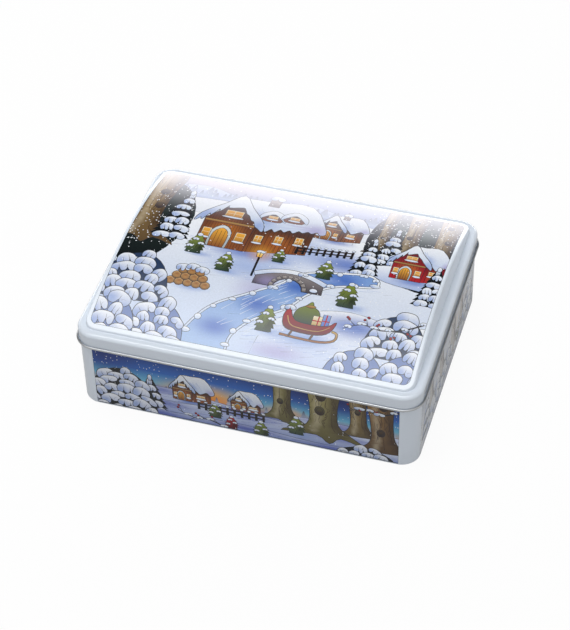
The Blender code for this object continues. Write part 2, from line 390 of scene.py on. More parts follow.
class Picture:
    """Printed shapes laid one over another, measured in millimetres."""

    def __init__(self, half_width, low, high, corner, seed):
        self.rough = random.Random(seed)
        self.shapes = []
        self.low, self.high, self.half = low, high, half_width
        outline = []
        for side_x, side_y, start in ((1, 1, 0), (-1, 1, 90), (-1, -1, 180), (1, -1, 270)):
            for step in range(7 if corner else 1):
                angle = math.radians(start + 15 * step)
                middle_y = high - corner if side_y > 0 else low + corner
                outline.append((side_x * (half_width - corner) + math.cos(angle) * corner,
                                middle_y + math.sin(angle) * corner))
        self.outline = np.array(outline)

    def lay(self, outline, ink, low_ink=None, line=0.0, strength=1.0):
        """Lay a shape of ink, shading down to a second ink, over a dark line."""
        outline = np.array(outline, float)
        x, y = outline.T
        if (x * np.roll(y, -1) - y * np.roll(x, -1)).sum() < 0:
            outline = outline[::-1]
        if line:
            self.lay(grown(outline, line), INK_LINE)
        reach = (y.min(), y.max())
        kept = clipped(outline, self.outline)
        if len(kept) > 2:
            inks = (np.array(hex_linear(ink)), np.array(hex_linear(low_ink or ink)))
            self.shapes.append((kept, inks, reach, strength))
        return kept

    def wash(self, x, y, across, up, ink, strength, within=None):
        """Lay a soft patch of ink, strongest in its middle, over the shapes so far."""
        if within is None or len(within) > 2:
            self.shapes.append((within, np.array(hex_linear(ink)), (x, y, across, up), strength))

    def strokes(self, x, y, across, up, count, ink, length=7, width=0.3, tilt=0.0, strength=0.5):
        """Short pencil strokes scattered over a patch."""
        for _ in range(count):
            turn, far = self.rough.uniform(0, 2 * math.pi), self.rough.random() ** 0.5
            cx, cy = x + across * far * math.cos(turn), y + up * far * math.sin(turn)
            dx = self.rough.uniform(0.4, 0.7) * length * math.cos(tilt)
            dy = self.rough.uniform(0.4, 0.7) * length * math.sin(tilt)
            bow = self.rough.uniform(-0.06, 0.06) * length
            self.lay(brush([(cx - dx, cy - dy), (cx + bow, cy + bow), (cx + dx, cy + dy)], width, 0.1),
                     ink, strength=strength)

    def flakes(self, x0, y0, x1, y1, count, size=0.5):
        """Falling snow."""
        for _ in range(count):
            r = size * self.rough.uniform(0.5, 1.1)
            self.lay(oval(self.rough.uniform(x0, x1), self.rough.uniform(y0, y1), r, r, 5), SNOW)

    def drift(self, points, ink, low_ink, line):
        """A bank of snow under a smooth crest that runs from left to right."""
        crest = smooth(points, closed=False, steps=4)
        self.lay(brush(crest[::4] + (0, line / 2), line), INK_LINE, strength=0.7)
        foot = [(crest[0][0], self.low), (crest[-1][0], self.low)]
        self.lay(np.concatenate((crest[::-1], foot)), ink, low_ink)

    def pad(self, x, y, width, height, lobes=3, line=0.4, shade=SNOW_SHADE, turn=0.0):
        """A clump of snow: domed above, lobed below, creased between the lobes and shaded to one side."""
        rough = self.rough
        way = np.array([(math.cos(turn), math.sin(turn)), (-math.sin(turn), math.cos(turn))])
        outline = [(-0.5, 0.0), (-0.34, 0.36), (rough.uniform(-0.12, 0.12), 0.52), (0.34, 0.36), (0.5, 0.0)]
        creases = []
        for lobe in range(lobes):
            middle = 0.5 - (lobe + 0.5) / lobes
            drop = -rough.uniform(0.28, 0.54)
            outline += [(middle + 0.26 / lobes, drop), (middle - 0.26 / lobes, drop)]
            if lobe < lobes - 1:
                creases.append((middle - 0.5 / lobes, -rough.uniform(0.0, 0.16)))
                outline.append(creases[-1])

        def placed(shares):
            return np.array(shares) * (width, height) @ way + (x, y)

        kept = self.lay(smooth(placed(outline), steps=3 if width > 9 else 2), SNOW, shade, line)
        if width > 7:
            self.wash(*placed([(-0.34, -0.22)])[0], width * 0.5, height * 0.8, BLUE_SHADE, 0.85, kept)
            bow = rough.uniform(0.05, 0.25)
            self.lay(brush(placed([(bow, -0.12), (bow + 0.1, 0.02), (bow + 0.2, 0.0)]), line * 0.7, 0.1),
                     INK_LINE, strength=0.45)
        for cx, cy in creases:
            tip = (cx + rough.uniform(-0.06, 0.06), cy + 0.32)
            self.lay(brush(placed([(cx, cy), tip]), line, 0.1), INK_LINE, strength=0.75)

    def fir(self, x, foot, height, width, dark=NIGHT_GREEN, line=0.4, shade=SNOW_SHADE, size=9.0):
        """A fir bowed down with snow: dark needles behind, and clumps in tiers before them."""
        rough = self.rough
        teeth = max(int(height / 4), 4)
        left, right = [], []
        for tooth in range(teeth + 1):
            share = tooth / teeth
            half = width * 0.54 * share ** 0.8 + 0.4
            level = foot + height * (1 - share)
            left += [(x - half, level), (x - half * 0.8, level + 0.2)]
            right += [(x + half, level + rough.uniform(-0.6, 0.6)), (x + half * 0.8, level + 0.2)]
        self.lay(left + right[::-1], dark, dark, line * 0.7)
        tiers = max(int(height / (size * 0.7)), 3)
        for tier in range(tiers):
            share = (tier + 0.6) / tiers
            half = width * 0.5 * share ** 0.85
            count = max(int(round(half * 2 / size)), 1)
            for k in range(count):
                across = (k - (count - 1) / 2) * 2 * half / count
                level = foot + height * (1 - share) - abs(across) * 0.28
                self.pad(x + across + rough.uniform(-0.08, 0.08) * size,
                         level + rough.uniform(-0.12, 0.12) * size,
                         half * 2 / count * rough.uniform(0.88, 1.15), size * rough.uniform(0.56, 0.8),
                         rough.choice((2, 3, 3)), line, shade, -across / half * 0.35)
        self.pad(x, foot + height * 0.98, size * 0.34, size * 0.6, 1, line, shade)

    def thicket(self, x, foot, width, height, size, dark, line, shade):
        """Low bushes under heavy snow: big clumps heaped in rows, dark in the gaps."""
        rough = self.rough
        edge = []
        for turn in np.arange(12) * math.pi / 6:
            level = foot + height * (0.1 + 0.86 * max(math.sin(turn), -0.1))
            edge.append((x + width * 0.5 * math.cos(turn), level))
        self.lay(smooth(edge), dark, dark, line)
        rows = max(int(height / (size * 0.52)), 2)
        for row in range(rows):
            up = 1 - (row + 0.35) / rows
            half = width * 0.5 * math.sqrt(1 - up * up)
            count = max(int(round(2 * half / (size * 1.02))), 1)
            for k in range(count):
                across = (k - (count - 1) / 2 + 0.25 * (-1) ** row) * 2 * half / count
                self.pad(x + across + rough.uniform(-0.1, 0.1) * size,
                         foot + height * up + rough.uniform(-0.1, 0.1) * size,
                         size * rough.uniform(0.66, 1.32), size * rough.uniform(0.5, 0.9),
                         rough.choice((2, 3, 3)), line, shade, -across / (half + 1) * 0.7)

    def trunk(self, x, foot, height, width, ink=OCHRE, low_ink="#7C6B3E", line=0.5, lean=0.0):
        """An old tree's trunk: spread roots, winding bark lines, knots, and shade down one side."""
        rough, w = self.rough, width / 2

        def at(side, share):
            spread = 1.0 + 0.9 * max(0.0, 1 - share * 5) ** 2
            return x + lean * share * height + side * w * spread, foot + height * share

        outline = [(x - w * 3.0, foot - w * 0.5), at(-1, 0.03), at(-1, 0.2), at(-0.94, 0.55),
                   at(-1.05, 1), at(1.02, 1), at(0.92, 0.5), at(1, 0.2), at(1.1, 0.04),
                   (x + w * 2.9, foot - w * 0.7), (x + w * 1.2, foot - w * 0.25),
                   (x + w * 0.4, foot - w * 0.95), (x - w * 0.5, foot - w * 0.3)]
        kept = self.lay(smooth(outline), ink, low_ink, line)
        for share in np.arange(0.05, 1.0, 0.12):
            self.wash(*at(0.85, share), w * 0.9, height * 0.14, DARK_TIMBER, 0.75, kept)
            self.wash(*at(-0.45, share), w * 0.45, height * 0.12, CREAM, 0.35, kept)
        for _ in range(int(9 + width * 1.1)):
            side, start = rough.uniform(-0.92, 0.92), rough.uniform(0, 0.75)
            end = start + rough.uniform(0.12, 0.4)
            sway = rough.uniform(-0.22, 0.22)
            bark = [at(side, start), at(side + sway, start * 0.6 + end * 0.4),
                    at(side - sway * 0.5, start * 0.3 + end * 0.7), at(side, end)]
            self.lay(brush(bark, 0.42, 0.15), DARK_TIMBER, strength=rough.uniform(0.5, 0.95))
        for share in (rough.uniform(0.3, 0.45), rough.uniform(0.6, 0.8)):
            kx, ky = at(rough.uniform(-0.4, 0.4), share)
            for size in (0.42, 0.24):
                self.lay(oval(kx, ky, w * size * 0.8, w * size), low_ink, DARK_TIMBER, line * 0.7)

    def bush(self, x, y, width, height, ink=MOSS, low_ink=FIR_GREEN):
        """A young juniper, pointed and rough-edged, with a little snow on it."""
        rough = self.rough
        flanks = []
        for side in (-1, 1):
            flank = [(x, y + height)]
            for k in range(1, 7):
                half = side * width * 0.5 * math.sin(k / 6 * 2.3) ** 0.8
                level = y + height * (1 - k / 6)
                flank += [(x + half * 1.12, level + rough.uniform(-0.4, 0.2)),
                          (x + half * 0.8, level - 0.2)]
            flanks += flank if side < 0 else flank[::-1]
        self.wash(x + width * 0.4, y, width * 1.1, height * 0.2, BLUE_SHADE, 0.9)
        kept = self.lay(flanks, ink, low_ink, 0.4)
        self.wash(x + width * 0.3, y + height * 0.3, width * 0.4, height * 0.5, NIGHT_GREEN, 0.7, kept)
        self.strokes(x, y + height * 0.36, width * 0.3, height * 0.3, 9, NIGHT_GREEN, 2.8, 0.4, 1.3, 0.6)
        for side, up in ((-0.3, 0.34), (0.26, 0.52), (-0.12, 0.72)):
            self.pad(x + width * side, y + height * up, width * 0.36, height * 0.12, 2, 0.32)
        self.pad(x, y + height * 0.98, width * 0.3, height * 0.16, 1, 0.32)

    def window(self, x, y, width, height, bars=2):
        """A lit window in a pale frame, with snow on its sill."""
        self.lay(slab(x - width / 2, y, x + width / 2, y + height), CREAM, OCHRE, 0.45)
        for k in range(bars):
            part = (width - 0.6) / bars
            left = x - width / 2 + 0.6 + k * part
            self.lay(slab(left, y + 0.6, left + part - 0.6, y + height - 0.6), AMBER, "#B9803A")
            self.lay(slab(left, y + height * 0.52, left + part - 0.6, y + height * 0.52 + 0.35), CREAM)
        sill = [(x - width * 0.62, y - 0.2), (x - width * 0.4, y + 0.9), (x + width * 0.4, y + 0.8),
                (x + width * 0.62, y - 0.3), (x, y - 1.0)]
        self.lay(smooth(sill), SNOW, SNOW_SHADE, 0.3)

    def chalet(self, x, y, width, height, length, rise, wall=TIMBER, low_wall=DARK_TIMBER):
        """A timber house: planked gable and long side, lit windows and thick snow on the roof."""
        rough, w = self.rough, width / 2
        eave, ridge, corner = y + height * 0.52, y + height, x + w * 0.86
        end_x, end_y = x + w * 0.9 + length, y + rise
        self.wash(x + length * 0.5, y - 1, w + length * 0.6, height * 0.16, DEEP_BLUE, 0.8)

        # The long side, its planks and windows
        long_side = [(corner, y), (end_x, end_y), (end_x, end_y + height * 0.5), (corner, eave)]
        kept = self.lay(long_side, low_wall, wall, 0.5)
        middle = x + w + length * 0.45
        self.wash(middle, y + height * 0.22, length * 0.5, height * 0.3, "#C8702A", 0.55, kept)
        self.strokes(middle, y + height * 0.25, length * 0.45, height * 0.2, int(length * 0.6),
                     NIGHT_GREEN, 8, 0.5, 1.5, 0.5)
        planks = max(int(length / 2.6), 1)
        for k in range(1, planks):
            px, py = corner + length * k / planks, y + rise * k / planks
            sway = rough.uniform(-0.3, 0.3)
            plank = [(px, py + 0.4), (px + sway, py + height * 0.26), (px, py + height * 0.5)]
            self.lay(brush(plank, 0.45, 0.25), NIGHT_GREEN, strength=0.75)
        windows = max(int(length / 13), 1)
        for share in np.arange(0.5, windows) / windows:
            self.window(corner + length * share, y + rise * share + height * 0.17, 6.0, height * 0.15)

        # The gable, with a door in a stone arch between two windows
        gable = [(x - w * 0.86, y), (corner, y), (x + w * 0.9, eave), (x, ridge - 1), (x - w * 0.9, eave)]
        kept = self.lay(gable, low_wall, wall, 0.55)
        self.wash(x, y + height * 0.3, w * 0.9, height * 0.35, "#D9822E", 0.6, kept)
        for k in range(1, int(width / 2.4)):
            px = x - w * 0.86 + 2.4 * k * 0.86
            top = eave + (ridge - eave) * (1 - abs(px - x) / (w * 0.95)) - 1.5
            plank = [(px, y + 0.3), (px + rough.uniform(-0.3, 0.3), (y + top) / 2), (px, top)]
            self.lay(brush(plank, 0.4, 0.25), NIGHT_GREEN, strength=0.6)
        beam = slab(x - w * 0.88, eave - height * 0.06, x + w * 0.88, eave - height * 0.02)
        self.lay(beam, OCHRE, TIMBER, 0.35)
        self.window(x, eave + height * 0.08, w * 0.62, height * 0.15)
        high, half, door_x = height * 0.36, w * 0.27, x - w * 0.12
        arch = smooth([(-half * 1.3, 0), (-half * 1.3, high * 0.8), (0, high * 1.15),
                       (half * 1.3, high * 0.8), (half * 1.3, 0)], closed=False)
        self.lay(arch + (door_x, y), "#DDE3E4", "#A9B3B8", 0.5)
        self.lay(arch * (0.74, 0.86) + (door_x, y), AMBER, TIMBER, 0.4)
        for k in (-0.5, 0, 0.5):
            px = door_x + half * k
            self.lay(brush([(px, y + 0.3), (px, y + high * 0.85)], 0.35), DARK_TIMBER, strength=0.8)
        self.window(x + w * 0.58, y + height * 0.14, w * 0.34, height * 0.18, 1)
        self.window(x - w * 0.64, y + height * 0.14, w * 0.3, height * 0.18, 1)

        # Snow on the far slope, then the thick edge over the gable
        far = [(x, ridge + 2.0), (x + length * 0.5, ridge + rise * 0.5 + 2.6),
               (end_x - w * 0.5, ridge + rise + 1.4), (end_x + w * 0.35, end_y + height * 0.52)]
        lobes = max(int(length / 6), 2)
        for k in range(lobes):
            share = (k + 0.5) / lobes
            px = end_x + w * 0.3 - (length + w * 0.1) * share
            py = end_y + height * 0.47 - rise * share
            far += [(px + 1.4, py - rough.uniform(0.6, 2.4)), (px - 1.6, py + 0.8)]
        kept = self.lay(smooth(far), SNOW, SNOW_SHADE, 0.5)
        self.wash(x + w * 0.9, eave + height * 0.12, length * 0.5, height * 0.3, BLUE_SHADE, 0.9, kept)
        self.wash(end_x, end_y + height * 0.5, length * 0.35, height * 0.2, LILAC, 0.8, kept)
        self.strokes(x + length * 0.55, (eave + ridge) / 2 + rise * 0.5, length * 0.4, height * 0.12,
                     12, BLUE_SHADE, 6, 0.3, -0.9, 0.6)
        for share in (0.36, 0.72) if length > 30 else ():
            self.dormer(x + w * 0.6 + length * share, eave + rise * share + height * 0.1, height * 0.11)
        thick = height * 0.13
        half_up = (eave + ridge) / 2 + thick
        edge = [(x - w * 1.25, eave - height * 0.1), (x - w * 1.12, eave + thick * 0.6),
                (x - w * 0.5, half_up), (x, ridge + thick * 1.1), (x + w * 0.5, half_up),
                (x + w * 1.12, eave + thick * 0.6), (x + w * 1.22, eave - height * 0.1)]
        for side in (1, -1):
            for share in (0.98, 0.75, 0.5, 0.25)[::side]:
                level = eave + (ridge - eave) * (1 - share) - thick * 0.35
                edge += [(x + side * w * (share + 0.04), level - rough.uniform(0.3, 2.0)),
                         (x + side * w * (share - side * 0.09), level + 1.3)]
        kept = self.lay(smooth(edge), SNOW, SNOW_SHADE, 0.55)
        self.wash(x - w, eave + height * 0.05, w * 0.7, height * 0.3, BLUE_SHADE, 0.8, kept)
        self.wash(x + w, eave, w * 0.5, height * 0.25, BLUE_SHADE, 0.8, kept)

    def dormer(self, x, y, s):
        """A round-headed window in a snowy roof."""
        self.lay(smooth([(x - s, y), (x + s, y), (x + s * 0.95, y + s * 0.9), (x, y + s * 1.6),
                         (x - s * 0.95, y + s * 0.9)]), DARK_TIMBER, TIMBER, 0.45)
        self.window(x, y + s * 0.35, s * 1.1, s * 0.75)
        hood = [(x - s * 1.5, y + s * 0.2), (x - s * 1.3, y + s * 1.3), (x, y + s * 2.2),
                (x + s * 1.4, y + s * 1.2), (x + s * 1.5, y + s * 0.1), (x + s * 0.95, y + s * 0.7),
                (x, y + s * 1.5), (x - s * 0.95, y + s * 0.8)]
        self.lay(smooth(hood), SNOW, SNOW_SHADE, 0.4)

    def bridge(self, x, y, s):
        """A small stone arch bridge with snow along its top."""

        def at(*pairs):
            return [(x + s * px, y + s * py) for px, py in pairs]

        turns = np.arange(9) * math.pi / 8
        arch = [(0.72 * math.cos(turn), -0.25 + 0.62 * math.sin(turn)) for turn in turns]
        kept = self.lay(at((1.7, -0.25), (1.65, 0.3), (0.9, 0.62), (0, 0.74), (-0.9, 0.62), (-1.65, 0.3),
                           (-1.7, -0.25), *reversed(arch)), STONE, "#4F4A50", 0.5)
        self.wash(x - s, y, s * 0.9, s * 0.6, LILAC, 0.6, kept)
        for turn in np.arange(0.5, 9) * math.pi / 9:
            ends = [(far * math.cos(turn), -0.25 + (far - 0.1) * math.sin(turn)) for far in (0.74, 0.92)]
            self.lay(brush(at(*ends), s * 0.2), "#B7B0AC", "#77706F", 0.3)
        top = at((-1.75, 0.36), (-0.9, 0.7), (0, 0.84), (0.9, 0.7), (1.75, 0.36))
        cap = self.lay(brush(top, s * 0.24), SNOW, SNOW_SHADE, 0.4)
        self.wash(x - s * 0.8, y + s * 0.5, s * 0.8, s * 0.2, BLUE_SHADE, 0.7, cap)

    def chimney(self, x, y, size):
        """A brick chimney with snow on it."""
        left, right = x - size / 2, x + size / 2
        self.lay(slab(left, y, right, y + size * 1.5), "#A08A7C", "#6B5A52", 0.4)
        for k in range(3):
            joint = slab(left, y + size * (0.3 + 0.4 * k), right, y + size * (0.36 + 0.4 * k))
            self.lay(joint, INK_LINE, strength=0.6)
        self.pad(x, y + size * 1.6, size * 1.4, size * 0.9, 2)

    def sleigh(self, x, y, s):
        """A red sleigh with a curled runner, a green sack and tied parcels."""

        def at(*pairs):
            return [(x + s * px, y + s * py) for px, py in pairs]

        self.wash(x + s * 0.1, y, s * 1.3, s * 0.22, BLUE_SHADE, 0.9)
        sack = at((-0.55, 0.7), (-0.6, 1.15), (-0.3, 1.42), (-0.12, 1.62), (0.0, 1.4),
                  (0.25, 1.2), (0.3, 0.7))
        self.lay(smooth(sack), "#8D9A45", FIR_GREEN, 0.45)
        self.lay(smooth(at((-0.34, 1.4), (-0.12, 1.34), (0.06, 1.42), (-0.12, 1.47))), OCHRE, TIMBER, 0.3)
        for px, py, wide, high, ink, low_ink in ((0.3, 0.62, 0.42, 0.42, CREAM, OCHRE),
                                                 (0.58, 0.6, 0.26, 0.56, BLUE_SHADE, DEEP_BLUE)):
            left, right = px - wide / 2, px + wide / 2
            self.lay(at((left, py), (right, py), (right, py + high), (left, py + high)), ink, low_ink, 0.4)
            self.lay(brush(at((px, py), (px, py + high)), 0.9), RED)
            self.lay(brush(at((left, py + high / 2), (right, py + high / 2)), 0.9), RED)
        runner = at((-0.95, 0.02), (-0.3, -0.02), (0.6, -0.02), (1.08, 0.14), (1.12, 0.42), (0.92, 0.5))
        self.lay(brush(runner, 1.3), OCHRE, TIMBER, 0.4)
        for px in (-0.5, 0.3):
            self.lay(brush(at((px - 0.1, 0.0), (px, 0.34)), 1.1), TIMBER, DARK_TIMBER, 0.35)
        hull = at((-1.0, 0.86), (-0.9, 0.4), (-0.5, 0.24), (0.4, 0.24), (0.84, 0.46), (0.98, 0.92),
                  (0.74, 0.7), (0.3, 0.62), (-0.4, 0.64), (-0.68, 0.84), (-0.86, 1.2))
        self.lay(smooth(hull), RED, DARK_RED, 0.5)
        trim = at((-0.86, 0.84), (-0.68, 0.5), (-0.3, 0.4), (0.4, 0.4), (0.8, 0.66))
        self.lay(brush(trim, 0.7, 0.4), OCHRE)
        self.pad(x - s * 0.86, y + s * 1.2, s * 0.42, s * 0.26, 2)

    def fence(self, x0, y0, x1, y1, count, height):
        """A fence of two rails and a row of posts capped with snow."""
        for level in (0.35, 0.72):
            rail = [(x0 - 1, y0 + height * level), (x1 + 1, y1 + height * level)]
            self.lay(brush(rail, 0.9), DARK_TIMBER, NIGHT_GREEN, 0.25)
        for k in range(count):
            share = k / (count - 1)
            px, py = x0 + (x1 - x0) * share, y0 + (y1 - y0) * share
            post = [(px - 0.8, py), (px + 0.8, py), (px + 0.7, py + height), (px - 0.6, py + height)]
            self.lay(post, DARK_TIMBER, NIGHT_GREEN, 0.25)
            self.pad(px, py + height, 2.6, 1.7, 1, 0.25)

    def logs(self, x, y, size):
        """A stack of sawn logs under snow."""
        self.wash(x + size, y, size * 5, size * 1.4, BLUE_SHADE, 0.9)
        for row, count in enumerate((5, 4, 3)):
            for k in range(count):
                cx, cy = x + (k - (count - 1) / 2) * size * 1.9, y + size * (0.9 + 1.6 * row)
                self.lay(oval(cx, cy, size, size * 0.94), "#C9A06C", "#8A6540", 0.5)
                for ring in (0.62, 0.3):
                    self.lay(oval(cx, cy, size * ring, size * ring), TIMBER, "#C7965A", strength=0.6)
        for k in (-1, 0, 1):
            self.pad(x + k * size * 2.1, y + size * (5.3 - 0.5 * abs(k)), size * 3.0, size * 1.8, 3)

    def lantern(self, x, y, height):
        """A lit lantern on a post."""
        self.wash(x, y + height * 0.9, height * 0.55, height * 0.45, AMBER, 0.55)
        self.lay(brush([(x, y), (x + 0.3, y + height * 0.75)], 1.1), DARK_TIMBER, INK_LINE, 0.3)
        top = y + height * 0.75
        glass = [(x - 1.7, top), (x + 1.7, top), (x + 2.3, top + 5), (x - 2.3, top + 5)]
        self.lay(glass, "#FBE7A2", AMBER, 0.5)
        self.lay(brush([(x, top), (x, top + 5)], 0.4), INK_LINE)
        self.pad(x, top + 5.6, 6.4, 3.0, 2, 0.35)

    def twig(self, points, width, berries, snow):
        """A bare dark twig with side shoots, and berries and snow along it."""
        rough = self.rough
        line = smooth(points, closed=False)
        self.lay(brush(points, width, width * 0.35), DARK_TIMBER, INK_LINE)
        for k in range(2, len(line) - 1, 2):
            px, py = line[k]
            ahead = line[k] - line[k - 1]
            turn = rough.uniform(0.5, 1.2) * rough.choice((-1, 1)) + math.atan2(ahead[1], ahead[0])
            reach = rough.uniform(3, 7)
            tip = (px + reach * math.cos(turn), py + reach * math.sin(turn))
            self.lay(brush([(px, py), tip], width * 0.5, 0.2), INK_LINE)
            for _ in range(berries):
                bx, by = tip[0] + rough.uniform(-1.6, 1.6), tip[1] + rough.uniform(-1.6, 1.6)
                self.lay(oval(bx, by, 0.9, 0.9, 7), RED, DARK_RED, 0.25)
        for px, py in line[1:-1:2]:
            self.pad(px, py + width * 0.6, snow * rough.uniform(1.4, 2.6), snow * 0.8, 2, 0.3)

    def far_firs(self, x0, x1, y0, y1, count, ink, height):
        """A row of distant firs, small and misty."""
        for k in range(count):
            share = (k + self.rough.uniform(0, 0.8)) / count
            px, py = x0 + (x1 - x0) * share, y0 + (y1 - y0) * share
            high = height * self.rough.uniform(0.6, 1.2)
            tiers = []
            for side in (-1, 1):
                ladder = []
                for step in range(6):
                    out, level = side * high * 0.06 * (step + 1.4), py + high * (1 - step / 5)
                    ladder += [(px + out, level), (px + out * 0.62, level + 0.1)]
                tiers += ladder if side < 0 else ladder[::-1]
            self.lay([(px, py + high * 1.15)] + tiers, ink, SNOW_SHADE, strength=0.85)

    def edge_line(self, width):
        """The thin dark line where the print ends."""
        inner = grown(self.outline, -width)
        ring = np.concatenate((self.outline, self.outline[:1], inner[:1], inner[:0:-1], inner[:1]))
        self.lay(ring, INK_LINE, strength=0.8)

    def printed(self, border, place):
        """The picture as triangles that fill a border: points, facings, faces, printed, inks.

        Its shapes' outlines become edges of the triangles, so each triangle's corners
        take the inks of the shapes that lie over its middle, one after another.
        """
        outlines = [np.array(border), self.outline]
        outlines += [outline for outline, _, reach, _ in self.shapes if len(reach) == 2]
        spots, edges = [], []
        for outline in outlines:
            first, count = len(spots), len(outline)
            spots += [Vector(p) for p in outline.tolist()]
            edges += [(first + i, first + (i + 1) % count) for i in range(count)]
        across = np.arange(-self.half + GRID / 2, self.half, GRID)
        up = np.arange(self.low + GRID / 2, self.high, GRID)
        grid = np.array([(x + GRID * 0.25 * (-1) ** k, y) for k, y in enumerate(up) for x in across])
        spots += [Vector(p) for p in grid[inside(grid, self.outline)].tolist()]
        spots, _, faces, *_ = delaunay_2d_cdt(spots, edges, [], 0, 1e-4, False)
        spots, faces = np.array([tuple(p) for p in spots]), np.array(faces)
        corners = spots[faces]
        middles = corners.mean(axis=1)
        inks = np.ones_like(np.insert(corners, 2, 0.0, axis=2))
        for outline, ink, reach, strength in self.shapes:
            under = slice(None)
            if outline is not None:
                low, high = outline.min(axis=0), outline.max(axis=0)
                near = np.flatnonzero(np.all((middles >= low) & (middles <= high), axis=1))
                under = near[inside(middles[near], outline)]
            if len(reach) == 4:
                x, y, wide, high = reach
                near = 1 - np.hypot((corners[under, :, 0] - x) / wide, (corners[under, :, 1] - y) / high)
                near = np.clip(near, 0, 1)[:, :, None]
                inks[under] += (ink - inks[under]) * strength * near ** 2 * (3 - 2 * near)
            else:
                share = (corners[under, :, 1] - reach[0]) / max(reach[1] - reach[0], 1e-6)
                laid = ink[1] + (ink[0] - ink[1]) * np.clip(share, 0, 1)[:, :, None]
                inks[under] += (laid - inks[under]) * strength
        points, facings = place(spots * MM)
        return points, facings, faces, inside(middles, self.outline), inks


def side_scene(picture, plan):
    """A side picture: sky over banks of snow, with what the plan puts along them."""
    half = picture.half
    night, day, low_sky, glow = plan["sky"]
    snow, shade = plan["snow"]
    picture.lay(slab(-half, 44, half, picture.high), night, day)
    picture.lay(slab(-half, 33, half, 44), day, low_sky)
    picture.lay(slab(-half, 18, half, 33), low_sky, glow)
    for spot in plan["glow"]:
        picture.wash(*spot)
    picture.flakes(-half, 30, half, picture.high, plan["stars"], 0.45)
    picture.far_firs(-half, half, 23, 25, int(half / 4), plan["far"], 9)
    for low, crest in ((27, (0, 3, -3, 2, -1)), (19, (1, -2, 2, -1, 3)), (7, (3, -1, 1, -2, 2))):
        points = [(-half + half * 0.5 * k, low + rise) for k, rise in enumerate(crest)]
        picture.drift(points, snow, shade, 0.45)
        for k, rise in enumerate(crest[1:4]):
            picture.wash(-half * 0.6 + half * 0.6 * k, low - 3 + rise, half * 0.36, 6, plan["shadow"], 0.85)
        picture.strokes(0, low - 4, half, 4, int(half * 0.26), INK_LINE, 9, 0.3, 0.12, 0.4)
        picture.strokes(0, low - 5, half, 4, int(half * 0.34), plan["shadow"], 10, 0.45, 0.08, 0.7)
        for kind, *values in plan.get(low, ()):
            getattr(picture, kind)(*values)
    picture.flakes(-half, picture.low, half, picture.high, int(half * 0.8), 0.4)
    picture.edge_line(0.8)


